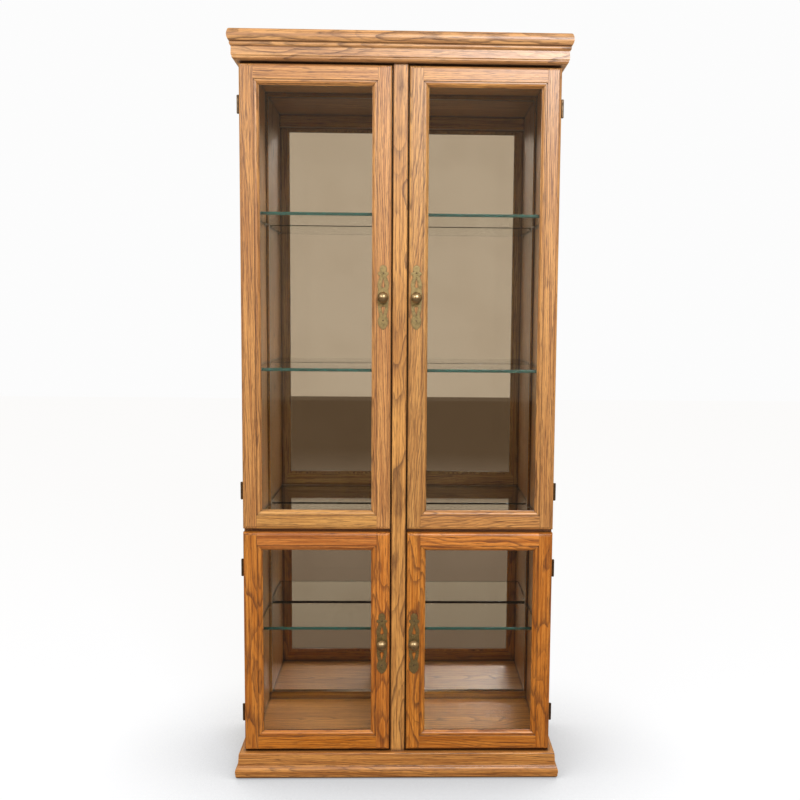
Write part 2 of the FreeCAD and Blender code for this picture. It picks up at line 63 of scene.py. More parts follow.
# Viewing position: the distance is from the door faces, angles are in degrees, the lens in mm
CAMERA_X = 0.0191
CAMERA_DISTANCE = 2.6033
CAMERA_HEIGHT = 1.2304
CAMERA_PITCH_DOWN = 5.68
CAMERA_TURN = -1.57
CAMERA_ROLL = 0.51
CAMERA_LENS = 45.46
CAMERA_SHIFT = (-0.0426, 0.0190)
CAMERA_SENSOR = 36.0

# Soft lights: place, aim, size, power in watts and colour
LIGHTS = {
    "key": ((1.1, -4.2, 3.35), (0.1, 0.0, 1.5), (1.5, 0.9), 128, (1.0, 0.98, 0.99)),
    "left_fill": ((-2.4, -3.4, 2.9), (0.0, 0.0, 1.0), (1.8, 1.2), 46, (1.0, 0.97, 0.92)),
}

# White background to look at, and what the mirror and bounced light find round the cabinet instead
BACKGROUND_STRENGTH = 0.975
ROOM_COLOUR = (0.70, 0.53, 0.37, 1)
ROOM_STRENGTH = 1.0
FLOOR_IN_MIRROR = (0.22, 0.175, 0.135, 1)

# Pale floor to look at: its colour, the light it adds, and the soft shadow round the base
FLOOR_PALE = (0.155, 0.188, 0.240, 1)
FLOOR_CLOUD = 0.97
FLOOR_LIFT = 0.862
FLOOR_REACH = 12.0
FLOOR_LEVEL = -0.5 * MM
BASE_SHADOW_REACH = 0.45
BASE_SHADOW_DEEPEST = 0.40

# Oak tones, from the palest wood to the pores
OAK_LIGHT = (0.720, 0.320, 0.060, 1)
OAK_MID = (0.410, 0.142, 0.015, 1)
OAK_DARK = (0.110, 0.031, 0.005, 1)
OAK_PORE = (0.060, 0.017, 0.004, 1)
# Last two: glaze with painted shade for grooves and gaps, wear with a painted highlight for edges
OAK_GLAZE_AND_SHADE = (0.045, 0.013, 0.004, 1)
OAK_WORN_AND_HIGHLIGHT = (0.720, 0.400, 0.140, 1)

# Painted light on each part of the cabinet, by the first word of its nodes' names: paler and less
# saturated at the top, darker towards the bottom, and the mirror strips at half lightness as painted
# shade: hue shift, saturation and lightness
PART_TONE_AND_PAINTED_LIGHT = {
    "crown": (0.008, 0.82, 1.08),
    "upper": (0.009, 0.91, 1.06),
    "centre": (0.006, 0.94, 1.04),
    "lower": (-0.007, 1.00, 0.99),
    "base": (0.003, 0.97, 0.97),
    "mirror": (0.0, 1.0, 0.50),
}
# Even tone of every other part, with no painted light, and how far each board's own tone strays by
# chance
EVEN_PART_TONE = (0.0, 1.0, 0.95)
HUE_SPREAD = 0.004
SATURATION_SPREAD = (0.98, 1.04)
LIGHTNESS_SPREAD = (0.93, 1.07)

# Sawn cuts in mm: how far aside and how deep the log's heart lies, the ring width and its waver
CATHEDRAL_CUT = {"aside": (0, 14), "depth": (40, 80), "spacing": (4.8, 7.0), "wander": 46.0}
STRAIGHT_CUT = {"aside": (45, 130), "depth": (50, 120), "spacing": (2.8, 4.2), "wander": 14.0}
LEAN_RANGE = (0.02, 0.05)
LOG_REACH = 4000
ARCHED_BOARDS = ("centre_post", "crown_front", "lower_right_top_rail")

# One year's ring, from its porous early wood through the dense late wood: (share of it, early wood)
YEAR = [(0.0, 1.0), (0.12, 0.80), (0.32, 0.20), (0.58, 0.0), (0.92, 0.0), (1.0, 1.0)]

# Oak figure: how fine each pattern is across, into and along the board, in cycles per mm
WAVER_SCALE = (0.008, 0.008, 0.0034)
RIPPLE_SCALE = (0.060, 0.060, 0.0090)
PORE_SCALE = (1.6, 1.6, 0.070)
DASH_SCALE = (0.50, 0.50, 0.022)
STREAK_SCALE = (0.22, 0.22, 0.0045)
PATCH_SCALE = (0.008, 0.008, 0.0030)

# How strongly each pattern shows in the wood, and how far the ripple moves a ring, in mm
STREAK_SHARE = 0.90
PATCH_SHARE = 0.35
EARLY_SHARE = 0.76
DASH_SHARE = 0.70
PORE_SHARE = 0.80
RIPPLE_REACH = 5.0

# Lacquer, dark glaze with painted shade in the grooves and gaps between parts, and pale wear with a
# painted highlight along the edges
LACQUER_WEIGHT = 0.60
LACQUER_ROUGHNESS = 0.32
GLAZE_AND_SHADE_REACH = 9 * MM
WEAR_AND_HIGHLIGHT_WIDTH = 1.2 * MM
WEAR_AND_HIGHLIGHT_SHARE = 0.30
GRAIN_DEPTH = 0.25 * MM

# Glass and mirror: colour, and the tint of the light let through
PANE_COLOUR = (0.905, 0.920, 0.915, 1)
PANE_LIGHT_TINT = (0.77, 0.785, 0.78, 1)
PANE_IOR = 1.36
SHELF_COLOUR = (0.93, 0.98, 0.96, 1)
SHELF_LIGHT_TINT = (0.88, 0.94, 0.91, 1)
SHELF_IOR = 1.50
SHELF_EDGE_DEEP = (0.006, 0.040, 0.032, 1)
SHELF_EDGE_PALE = (0.020, 0.105, 0.085, 1)
SHELF_EDGE_ROUND = 1.3 * MM
MIRROR_CLEAR = (0.74, 0.74, 0.72, 1)
MIRROR_CLOUDED = (0.70, 0.69, 0.66, 1)

# Metals: material name, worn colour, patina colour, their roughness, and how far hollows reach
METALS = {
    "brass": ("antique_brass", (0.44, 0.36, 0.18, 1), (0.15, 0.12, 0.055, 1), (0.34, 0.56), 6.0 * MM),
    "knob": ("burnished_brass", (0.46, 0.36, 0.21, 1), (0.16, 0.115, 0.055, 1), (0.33, 0.48), 4.0 * MM),
    "bronze": ("dark_bronze", (0.20, 0.15, 0.10, 1), (0.07, 0.05, 0.035, 1), (0.35, 0.55), 1.5 * MM),
    "nickel": ("nickel", (0.62, 0.60, 0.55, 1), (0.32, 0.29, 0.25, 1), (0.22, 0.40), 1.5 * MM),
}

# Pressed fibre board of the back
BOARD_DARK = (0.150, 0.080, 0.038, 1)
BOARD_PALE = (0.250, 0.145, 0.072, 1)
BOARD_STAIN = (0.115, 0.060, 0.030, 1)

# How far edges sharper than an angle are rounded, and how near points must be to be joined first
SHARP_ANGLE = 32
JOIN_DISTANCE = 0.002 * MM
WOOD_ROUND = 0.5 * MM
PLATE_ROUND = 0.45 * MM
BOARD_ROUND = 0.4 * MM
PIN_ROUND = 0.2 * MM
LEAF_ROUND = 0.15 * MM

# Hinge leaves, as the CAD part has them, and the slotted screws that hold them
LEAF_HEIGHT = 44 * MM
LEAF_THICKNESS = 1.0 * MM
SCREW_INSET = 8.5 * MM
SCREW_OFFSET = 13.0 * MM
SCREW_RADIUS = 2.85 * MM
SCREW_BELOW_LEAF = 0.05 * MM
SLOT_DEPTH = 0.5 * MM
SLOT_HALF_WIDTH = 0.35 * MM
CONE_DEPTH = 0.4 * MM

# Domed pins of the back plates, and brads of the back board: (radius, rise) in mm, rim to middle
PLATE_PIN_OFFSETS = (62.0 * MM, -58.5 * MM)
PLATE_PIN_PROFILE = [(1.9, -0.6), (1.9, 0.15), (1.75, 0.5), (1.3, 0.85), (0.7, 1.05), (0.2, 1.1)]
BRAD_PROFILE = [(1.6, 0.0), (1.6, 0.35), (1.3, 0.6), (0.6, 0.75), (0.1, 0.78)]
BRAD_INSET = 5 * MM
BRAD_SPACING = 0.12

# Seeds of what is left to chance: each board's cut and stain, and each screw's turn
WOOD_SEED = 7
SCREW_SEED = 11

LEVELS = ("upper", "lower")
SIDES = ("left", "right")
DOORS = [level + "_" + side for level in LEVELS for side in SIDES]
SHELVES = ("top_shelf", "middle_shelf", "glass_deck", "lower_shelf")


# ---------------------------------------------------------------- node tree helpers

class Graph:
    """Short calls that add shader nodes and return their output sockets."""

    def __init__(self, tree):
        self.tree = tree

    def add(self, kind, **settings):
        node = self.tree.nodes.new(kind)
        for key, value in settings.items():
            setattr(node, key, value)
        return node

    def feed(self, socket, value):
        if isinstance(value, bpy.types.NodeSocket):
            self.tree.links.new(value, socket)
        else:
            socket.default_value = value

    def math(self, operation, *values, clamp=False):
        node = self.add("ShaderNodeMath", operation=operation, use_clamp=clamp)
        for socket, value in zip(node.inputs, values):
            self.feed(socket, value)
        return node.outputs[0]

    def smooth(self, value, low, high, to_low=0.0, to_high=1.0):
        node = self.add("ShaderNodeMapRange", interpolation_type="SMOOTHSTEP")
        for socket, entry in zip(node.inputs, (value, low, high, to_low, to_high)):
            self.feed(socket, entry)
        return node.outputs[0]

    def mix(self, share, first, second):
        node = self.add("ShaderNodeMix", data_type="RGBA", blend_type="MIX")
        self.feed(node.inputs[0], share)
        self.feed(node.inputs[6], first)
        self.feed(node.inputs[7], second)
        return node.outputs[2]

    def noise(self, vector, stretch, detail=2.0, roughness=0.5):
        scaled = self.add("ShaderNodeVectorMath", operation="MULTIPLY")
        self.feed(scaled.inputs[0], vector)
        scaled.inputs[1].default_value = stretch
        node = self.add("ShaderNodeTexNoise")
        node.inputs["Scale"].default_value = 1.0
        node.inputs["Detail"].default_value = detail
        node.inputs["Roughness"].default_value = roughness
        self.tree.links.new(scaled.outputs[0], node.inputs["Vector"])
        return node.outputs[0]

    def ramp(self, value, stops):
        node = self.add("ShaderNodeValToRGB")
        elements = node.color_ramp.elements
        elements[0].position = stops[0][0]
        elements[1].position = stops[-1][0]
        for position, _ in stops[1:-1]:
            elements.new(position)
        for element, (_, level) in zip(elements, stops):
            element.color = (level, level, level, 1)
        self.feed(node.inputs[0], value)
        return node.outputs[0]


def new_material(name):
    """An empty material with its graph, Principled node and output."""
    material = bpy.data.materials.new(name)
    material.use_nodes = True
    graph = Graph(material.node_tree)
    shader = material.node_tree.nodes["Principled BSDF"]
    output = material.node_tree.nodes["Material Output"]
    return material, graph, shader, output


def bump(graph, shader, height, distance, strength=1.0):
    """Feed a height in as the surface normal."""
    node = graph.add("ShaderNodeBump")
    node.inputs["Strength"].default_value = strength
    node.inputs["Distance"].default_value = distance
    graph.feed(node.inputs["Height"], height)
    graph.feed(shader.inputs["Normal"], node.outputs[0])


def object_place(graph, unit=1.0):
    """Position on the piece, in the given unit of metres."""
    place = graph.add("ShaderNodeTexCoord").outputs["Object"]
    scaled = graph.add("ShaderNodeVectorMath", operation="SCALE")
    graph.feed(scaled.inputs[0], place)
    scaled.inputs["Scale"].default_value = 1.0 / unit
    return scaled.outputs[0]


def crevice(graph, reach):
    """1 on open surfaces, falling towards 0 in corners and grooves."""
    node = graph.add("ShaderNodeAmbientOcclusion", samples=4)
    node.inputs["Distance"].default_value = reach
    return node.outputs["AO"]


def edge_mask(graph, radius):
    """1 along sharp edges, 0 on flat faces."""
    rounded = graph.add("ShaderNodeBevel", samples=4)
    rounded.inputs["Radius"].default_value = radius
    facing = graph.add("ShaderNodeNewGeometry").outputs["Normal"]
    dot = graph.add("ShaderNodeVectorMath", operation="DOT_PRODUCT")
    graph.feed(dot.inputs[0], rounded.outputs[0])
    graph.feed(dot.inputs[1], facing)
    return graph.smooth(dot.outputs["Value"], 0.995, 0.86)


# ---------------------------------------------------------------- oak

def build_oak_group():
    """Growth rings, pores and stained colour of one oak board, in millimetres from the board's middle.

    X runs across the board's face, Y into it and Z along its grain.
    """
    group = bpy.data.node_groups.new("oak_grain", "ShaderNodeTree")
    sockets = group.interface
    for name in ("Place", "Elsewhere"):
        sockets.new_socket(name, in_out="INPUT", socket_type="NodeSocketVector")
    for name in ("Pith across", "Pith depth", "Lean", "Spacing", "Wander"):
        sockets.new_socket(name, in_out="INPUT", socket_type="NodeSocketFloat")
    sockets.new_socket("Colour", in_out="OUTPUT", socket_type="NodeSocketColor")
    sockets.new_socket("Roughness", in_out="OUTPUT", socket_type="NodeSocketFloat")
    sockets.new_socket("Height", in_out="OUTPUT", socket_type="NodeSocketFloat")
    g = Graph(group)
    given = g.add("NodeGroupInput").outputs
    parts = g.add("ShaderNodeSeparateXYZ")
    g.feed(parts.inputs[0], given["Place"])
    moved = g.add("ShaderNodeVectorMath", operation="ADD")
    g.feed(moved.inputs[0], given["Place"])
    g.feed(moved.inputs[1], given["Elsewhere"])
    place = moved.outputs[0]

    waver = g.math("SUBTRACT", g.noise(place, WAVER_SCALE, detail=2), 0.5)
    ripple = g.math("SUBTRACT", g.noise(place, RIPPLE_SCALE, detail=3), 0.5)
    across = g.math("SUBTRACT", parts.outputs[0], given["Pith across"])
    lean = g.math("MULTIPLY", parts.outputs[2], given["Lean"])
    depth = g.math("SUBTRACT", g.math("ADD", parts.outputs[1], lean), given["Pith depth"])
    radius = g.math("SQRT", g.math("MULTIPLY_ADD", across, across, g.math("MULTIPLY", depth, depth)))
    radius = g.math("MULTIPLY_ADD", waver, given["Wander"], radius)
    radius = g.math("MULTIPLY_ADD", ripple, RIPPLE_REACH, radius)
    ring = g.math("DIVIDE", radius, given["Spacing"])
    phase = g.math("FRACT", ring)
    year = g.add("ShaderNodeTexWhiteNoise", noise_dimensions="1D")
    g.feed(year.inputs["W"], g.math("FLOOR", ring))
    early = g.math("MULTIPLY", g.ramp(phase, YEAR), g.smooth(year.outputs[0], 0.1, 0.9, 0.30, 1.0))

    pores = g.smooth(g.noise(place, PORE_SCALE, detail=1), 0.54, 0.64)
    pores = g.math("MULTIPLY", pores, g.math("MULTIPLY_ADD", early, 0.70, 0.30))
    dashes = g.smooth(g.noise(place, DASH_SCALE, detail=2), 0.55, 0.68)
    streak = g.smooth(g.noise(place, STREAK_SCALE, detail=3), 0.38, 0.64)
    patch = g.smooth(g.noise(place, PATCH_SCALE, detail=2), 0.35, 0.70)

    colour = g.mix(g.math("MULTIPLY", streak, STREAK_SHARE), OAK_LIGHT, OAK_MID)
    colour = g.mix(g.math("MULTIPLY", patch, PATCH_SHARE), colour, OAK_MID)
    colour = g.mix(g.math("MULTIPLY", early, EARLY_SHARE), colour, OAK_DARK)
    colour = g.mix(g.math("MULTIPLY", dashes, DASH_SHARE), colour, OAK_DARK)
    colour = g.mix(g.math("MULTIPLY", pores, PORE_SHARE), colour, OAK_PORE)

    height = g.math("SUBTRACT", 1.0, g.math("MULTIPLY", pores, 0.7))
    height = g.math("MULTIPLY_ADD", g.math("MAXIMUM", early, dashes), -0.30, height)
    rough = g.math("MULTIPLY_ADD", pores, 0.20, 0.38)
    rough = g.math("MULTIPLY_ADD", early, 0.08, rough)
    finish = g.add("NodeGroupOutput")
    g.feed(finish.inputs["Colour"], colour)
    g.feed(finish.inputs["Roughness"], rough)
    g.feed(finish.inputs["Height"], height)
    return group


def board_place(graph, middle, order):
    """Millimetres from the board's middle, reordered to across, into and along the board."""
    centred = graph.add("ShaderNodeVectorMath", operation="SUBTRACT")
    graph.feed(centred.inputs[0], object_place(graph, MM))
    centred.inputs[1].default_value = middle / MM
    parts = graph.add("ShaderNodeSeparateXYZ")
    graph.feed(parts.inputs[0], centred.outputs[0])
    joined = graph.add("ShaderNodeCombineXYZ")
    for socket, axis in zip(joined.inputs, order):
        graph.feed(socket, parts.outputs[axis])
    return joined.outputs[0]


def tone_and_painted_light(graph, node, chance, colour):
    """The board's tone: the painted light of its part of the cabinet, paler at the top and darker
    below, a little off by chance.
    """
    hue, saturation, lightness = PART_TONE_AND_PAINTED_LIGHT.get(node.split("_")[0], EVEN_PART_TONE)
    toned = graph.add("ShaderNodeHueSaturation")
    toned.inputs["Hue"].default_value = 0.5 + hue + chance.uniform(-HUE_SPREAD, HUE_SPREAD)
    toned.inputs["Saturation"].default_value = saturation * chance.uniform(*SATURATION_SPREAD)
    toned.inputs["Value"].default_value = lightness * chance.uniform(*LIGHTNESS_SPREAD)
    graph.feed(toned.inputs["Color"], colour)
    return toned.outputs[0]


def oak(node, chance, group):
    """A board's own oak: the shared grain with its own place in the log, its own tone and painted
    light, glaze with painted shade in its grooves and gaps, and wear with a painted highlight along its
    edges.
    """
    order, cathedral = cut_of(node)
    cut = CATHEDRAL_CUT if cathedral else STRAIGHT_CUT
    low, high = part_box(node)
    material, graph, shader, _ = new_material("oak_" + node)
    board = graph.add("ShaderNodeGroup", node_tree=group)
    graph.feed(board.inputs["Place"], board_place(graph, (low + high) / 2, order))
    elsewhere = [chance.uniform(-LOG_REACH, LOG_REACH) for _ in range(3)]
    board.inputs["Elsewhere"].default_value = elsewhere
    board.inputs["Pith across"].default_value = chance.uniform(*cut["aside"]) * chance.choice((-1, 1))
    board.inputs["Pith depth"].default_value = chance.uniform(*cut["depth"])
    board.inputs["Lean"].default_value = chance.uniform(*LEAN_RANGE) * chance.choice((-1, 1))
    board.inputs["Spacing"].default_value = chance.uniform(*cut["spacing"])
    board.inputs["Wander"].default_value = cut["wander"]
    # Tone by chance with the painted light of the board's part: paler at the top, darker below, mirror
    # strips darkened as painted shade
    toned_and_lit = tone_and_painted_light(graph, node, chance, board.outputs["Colour"])
    # Glaze and painted shade darken grooves, corners and the gaps between parts; wear and a painted
    # highlight pale the open edges
    glaze_and_shade = graph.smooth(crevice(graph, GLAZE_AND_SHADE_REACH), 0.94, 0.50, 0.0, 0.94)
    colour = graph.mix(glaze_and_shade, toned_and_lit, OAK_GLAZE_AND_SHADE)
    edge_share = graph.math("MULTIPLY", edge_mask(graph, WEAR_AND_HIGHLIGHT_WIDTH), graph.math("SUBTRACT", 1.0, glaze_and_shade))
    colour = graph.mix(graph.math("MULTIPLY", edge_share, WEAR_AND_HIGHLIGHT_SHARE), colour, OAK_WORN_AND_HIGHLIGHT)
    graph.feed(shader.inputs["Base Color"], colour)
    graph.feed(shader.inputs["Roughness"], board.outputs["Roughness"])
    shader.inputs["Coat Weight"].default_value = LACQUER_WEIGHT
    shader.inputs["Coat Roughness"].default_value = LACQUER_ROUGHNESS
    bump(graph, shader, board.outputs["Height"], GRAIN_DEPTH, 0.6)
    return material


# ---------------------------------------------------------------- glass and mirror

def let_lamps_through(graph, shader, output, tint):
    """Glass to look at, but a plain tinted sheet to the lamps, so they light what is behind it."""
    clear = graph.add("ShaderNodeBsdfTransparent")
    clear.inputs["Color"].default_value = tint
    chooser = graph.add("ShaderNodeMixShader")
    path = graph.add("ShaderNodeLightPath")
    graph.feed(chooser.inputs[0], path.outputs["Is Shadow Ray"])
    graph.feed(chooser.inputs[1], shader.outputs[0])
    graph.feed(chooser.inputs[2], clear.outputs[0])
    graph.feed(output.inputs["Surface"], chooser.outputs[0])


def pane_glass():
    """Clear window glass with the faintest wave and wipe marks."""
    material, graph, shader, output = new_material("pane_glass")
    shader.inputs["Base Color"].default_value = PANE_COLOUR
    shader.inputs["Transmission Weight"].default_value = 1.0
    shader.inputs["IOR"].default_value = PANE_IOR
    place = object_place(graph)
    wipes = graph.noise(place, (14.0, 14.0, 5.0), detail=5)
    graph.feed(shader.inputs["Roughness"], graph.smooth(wipes, 0.55, 0.80, 0.0, 0.03))
    wave = graph.noise(place, (2.2, 2.2, 1.1), detail=0)
    bump(graph, shader, wave, 0.4 * MM, 0.05)
    let_lamps_through(graph, shader, output, PANE_LIGHT_TINT)
    return material


def shelf_face_glass():
    """Float glass of the shelves, a little green, with dust on it."""
    material, graph, shader, output = new_material("shelf_face_glass")
    shader.inputs["Base Color"].default_value = SHELF_COLOUR
    shader.inputs["Transmission Weight"].default_value = 1.0
    shader.inputs["IOR"].default_value = SHELF_IOR
    dust = graph.noise(object_place(graph), (9.0, 9.0, 9.0), detail=6)
    graph.feed(shader.inputs["Roughness"], graph.smooth(dust, 0.50, 0.80, 0.0, 0.06))
    let_lamps_through(graph, shader, output, SHELF_LIGHT_TINT)
    return material


def shelf_edge_glass():
    """Ground and polished edge of a glass shelf, where the green of the glass shows."""
    material, graph, shader, _ = new_material("shelf_edge_glass")
    place = object_place(graph, MM)
    grind = graph.noise(place, (0.05, 0.05, 1.2), detail=3)
    green = graph.mix(graph.smooth(grind, 0.35, 0.70), SHELF_EDGE_DEEP, SHELF_EDGE_PALE)
    graph.feed(shader.inputs["Base Color"], green)
    graph.feed(shader.inputs["Roughness"], graph.smooth(grind, 0.3, 0.7, 0.10, 0.24))
    shader.inputs["IOR"].default_value = SHELF_IOR
    shader.inputs["Coat Weight"].default_value = 0.2
    shader.inputs["Coat Roughness"].default_value = 0.06
    return material


def silvered_mirror():
    """Plate mirror with faint clouding."""
    material, graph, shader, _ = new_material("silvered_mirror")
    shader.inputs["Metallic"].default_value = 1.0
    cloud = graph.noise(object_place(graph), (6.0, 6.0, 6.0), detail=5)
    tint = graph.mix(graph.smooth(cloud, 0.35, 0.75), MIRROR_CLEAR, MIRROR_CLOUDED)
    graph.feed(shader.inputs["Base Color"], tint)
    graph.feed(shader.inputs["Roughness"], graph.smooth(cloud, 0.45, 0.80, 0.0, 0.03))
    return material


# ---------------------------------------------------------------- metal and board

def aged_metal(name, bright, dull, roughness, reach):
    """Metal with a dark patina that lies in the hollows and wears off the high spots."""
    material, graph, shader, _ = new_material(name)
    shader.inputs["Metallic"].default_value = 1.0
    place = object_place(graph, MM)
    blotch = graph.smooth(graph.noise(place, (0.10, 0.10, 0.10), detail=5, roughness=0.6), 0.36, 0.66)
    hollow = graph.smooth(crevice(graph, reach), 0.95, 0.45)
    patina = graph.math("MAXIMUM", graph.math("MULTIPLY", blotch, 0.75), hollow)
    edge_share = edge_mask(graph, 0.6 * MM)
    patina = graph.math("SUBTRACT", patina, graph.math("MULTIPLY", edge_share, 0.6), clamp=True)
    graph.feed(shader.inputs["Base Color"], graph.mix(patina, bright, dull))
    low, high = roughness
    graph.feed(shader.inputs["Roughness"], graph.smooth(patina, 0.0, 1.0, low, high))
    scratch = graph.noise(place, (2.5, 2.5, 0.5), detail=4)
    bump(graph, shader, scratch, 0.05 * MM, 0.35)
    return material


def hardboard():
    """Brown pressed fibre board of the back."""
    material, graph, shader, _ = new_material("hardboard")
    place = object_place(graph, MM)
    fibre = graph.noise(place, (0.5, 0.5, 0.35), detail=6, roughness=0.7)
    cloud = graph.noise(place, (0.004, 0.004, 0.003), detail=3)
    colour = graph.mix(graph.smooth(fibre, 0.3, 0.7), BOARD_DARK, BOARD_PALE)
    colour = graph.mix(graph.smooth(cloud, 0.35, 0.7, 0.0, 0.45), colour, BOARD_STAIN)
    graph.feed(shader.inputs["Base Color"], colour)
    graph.feed(shader.inputs["Roughness"], graph.smooth(fibre, 0.3, 0.7, 0.55, 0.80))
    bump(graph, shader, fibre, 0.2 * MM, 0.4)
    return material


# ---------------------------------------------------------------- finishes on the CAD nodes

def set_material(obj, material):
    """Give every slot of an object this material."""
    if not obj.material_slots:
        obj.data.materials.append(material)
    for slot in obj.material_slots:
        slot.material = material


def soften(obj, width, segments=2):
    """Round an object's sharp edges a little, so that they catch the light."""
    weld = obj.modifiers.new("weld", "WELD")
    weld.merge_threshold = JOIN_DISTANCE
    bevel = obj.modifiers.new("soft_edges", "BEVEL")
    bevel.width = width
    bevel.segments = segments
    bevel.limit_method = "ANGLE"
    bevel.angle_limit = math.radians(SHARP_ANGLE)
    bevel.use_clamp_overlap = True
    bevel.miter_outer = "MITER_ARC"
    normals = obj.modifiers.new("normals", "WEIGHTED_NORMAL")
    normals.keep_sharp = False


def cut_of(node):
    """How a board is sawn: axes across, into and along it, and whether its face shows cathedrals."""
    x, y, z = 0, 1, 2
    lower_stile = node.startswith("lower") and node.endswith("_stile")
    arched = lower_stile or node in ARCHED_BOARDS
    if node.endswith("_side_panel"):
        return (y, x, z), True
    if node.endswith(("_stile", "_glass_stops")) or node == "centre_post":
        return (x, y, z), arched
    if node in ("crown_left", "crown_right", "base_left", "base_right"):
        return (z, x, y), False
    if node in ("bottom_deck", "top_panel", "top_cover"):
        return (y, z, x), True
    return (z, y, x), arched


def finish_wood(nodes, record):
    """Oak on every wooden CAD node, each with its own stretch of grain."""
    group = build_oak_group()
    chance = random.Random(WOOD_SEED)
    wooden = sorted(part["node"] for part in record["subparts"] if part["material_slot"] == "oak")
    for node in wooden:
        set_material(nodes[node], oak(node, chance, group))
        soften(nodes[node], WOOD_ROUND)


def finish_other(nodes, metals):
    """Glass, mirror, board and metal on the CAD nodes that stay."""
    pane = pane_glass()
    for door in DOORS:
        set_material(nodes[door + "_glass"], pane)
        set_material(nodes[door + "_back_plate"], metals["brass"])
        set_material(nodes[door + "_knob"], metals["knob"])
        soften(nodes[door + "_back_plate"], PLATE_ROUND, segments=3)
        set_material(nodes[door + "_hinge_leaves"], metals["bronze"])
        soften(nodes[door + "_hinge_leaves"], LEAF_ROUND)
    for node in ("case_hinge_leaves", "hinge_pins"):
        set_material(nodes[node], metals["bronze"])
        soften(nodes[node], LEAF_ROUND)
    set_material(nodes["shelf_pins"], metals["nickel"])
    soften(nodes["shelf_pins"], PIN_ROUND)
    set_material(nodes["mirror"], silvered_mirror())
    set_material(nodes["back_board"], hardboard())
    soften(nodes["back_board"], BOARD_ROUND)


# ---------------------------------------------------------------- pieces made here

def object_from(name, bm, body, slot, *materials, smooth=True):
    """Turn a mesh in frame coordinates into a piece that rides on a body."""
    mesh = bpy.data.meshes.new(name)
    bmesh.ops.recalc_face_normals(bm, faces=bm.faces)
    bm.to_mesh(mesh)
    bm.free()
    for polygon in mesh.polygons:
        polygon.use_smooth = smooth
    obj = bpy.data.objects.new(name, mesh)
    bpy.context.scene.collection.objects.link(obj)
    for material in materials:
        mesh.materials.append(material)
    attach(obj, body)
    return obj


def glass_shelf(node, face_glass, edge_glass):
    """A shelf that stands for its CAD node, its edges rounded, green at the front and the ends."""
    low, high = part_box(node)
    bm = bmesh.new()
    bmesh.ops.create_cube(bm, size=1.0)
    size = high - low
    for vertex in bm.verts:
        vertex.co = low + Vector([(c + 0.5) * s for c, s in zip(vertex.co, size)])
    bmesh.ops.bevel(bm, geom=bm.edges, offset=SHELF_EDGE_ROUND, segments=4, profile=0.5, affect="EDGES")
    for polygon in bm.faces:
        face_or_rear = abs(polygon.normal.z) > 0.999 or polygon.normal.y > 0.5
        polygon.material_index = 0 if face_or_rear else 1
    shelf = object_from(node + "_pane", bm, "cabinet", "shelf_glass", face_glass, edge_glass)
    normals = shelf.modifiers.new("normals", "WEIGHTED_NORMAL")
    normals.keep_sharp = False
    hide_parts(node)


def lathe(bm, profile, centre, facing, segments=20):
    """Turned shape about a line along Y: profile is (radius, rise) from its rim to its middle."""
    rings = []
    for radius, rise in profile:
        ring = []
        for step in range(segments):
            angle = 2 * math.pi * step / segments
            offset = Vector((radius * math.cos(angle), facing * rise, radius * math.sin(angle)))
            ring.append(bm.verts.new(centre + offset))
        rings.append(ring)
    for inner, outer in zip(rings[1:], rings[:-1]):
        for step in range(segments):
            after = (step + 1) % segments
            bm.faces.new((outer[step], outer[after], inner[after], inner[step]))
    bm.faces.new(rings[0])
    bm.faces.new(rings[-1])


def half_disc(bm, centre, facing, radius, heights, turn, half, segments=10):
    """One side of a slotted head: an arc closed by the slot's edge, as a low prism."""
    start = math.asin(SLOT_HALF_WIDTH / radius)
    rows = []
    for rise in heights:
        row = []
        for step in range(segments + 1):
            angle = start + (math.pi - 2 * start) * step / segments + math.pi * half + turn
            offset = Vector((radius * math.cos(angle), facing * rise, radius * math.sin(angle)))
            row.append(bm.verts.new(centre + offset))
        rows.append(row)
    count = segments + 1
    for step in range(count):
        after = (step + 1) % count
        bm.faces.new((rows[0][step], rows[0][after], rows[1][after], rows[1][step]))
    bm.faces.new(rows[0])
    bm.faces.new(rows[1])


def screw_head(bm, centre, facing, radius, rise, turn):
    """Countersunk head with a straight slot, its face at rise above the centre."""
    floor = rise - SLOT_DEPTH
    cone = [(radius * 0.6, floor - CONE_DEPTH), (radius * 0.93, floor)]
    lathe(bm, cone, centre, facing)
    for half in (0, 1):
        half_disc(bm, centre, facing, radius, (floor, rise), turn, half)


def hinge_heights(door):
    """Z of a door's two hinges, from the ends of its group of leaves."""
    low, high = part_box(door + "_hinge_leaves")
    half = LEAF_HEIGHT / 2
    return low.z + half, high.z - half


def add_hinge_screws(metals, chance):
    """Slotted screws in both leaves of every hinge."""
    rise = LEAF_THICKNESS - SCREW_BELOW_LEAF
    case_screws = bmesh.new()
    case_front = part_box("left_side_panel")[0].y
    for door in DOORS:
        low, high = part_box(door + "_hinge_leaves")
        on_left = door.endswith("left")
        x = high.x - SCREW_INSET if on_left else low.x + SCREW_INSET
        door_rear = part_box(door + "_hinge_stile")[1].y
        screws = bmesh.new()
        for z in hinge_heights(door):
            for offset in (-SCREW_OFFSET, SCREW_OFFSET):
                at_door = Vector((x, door_rear, z + offset))
                screw_head(screws, at_door, 1, SCREW_RADIUS, rise, chance.uniform(0, math.pi))
                at_case = Vector((x, case_front, z + offset))
                screw_head(case_screws, at_case, -1, SCREW_RADIUS, rise, chance.uniform(0, math.pi))
        name = door + "_hinge_screws"
        object_from(name, screws, door + "_door", "dark_bronze", metals["bronze"], smooth=False)
    name = "case_hinge_screws"
    object_from(name, case_screws, "cabinet", "dark_bronze", metals["bronze"], smooth=False)


def scaled(profile):
    """A profile given in millimetres, in metres."""
    return [(radius * MM, rise * MM) for radius, rise in profile]


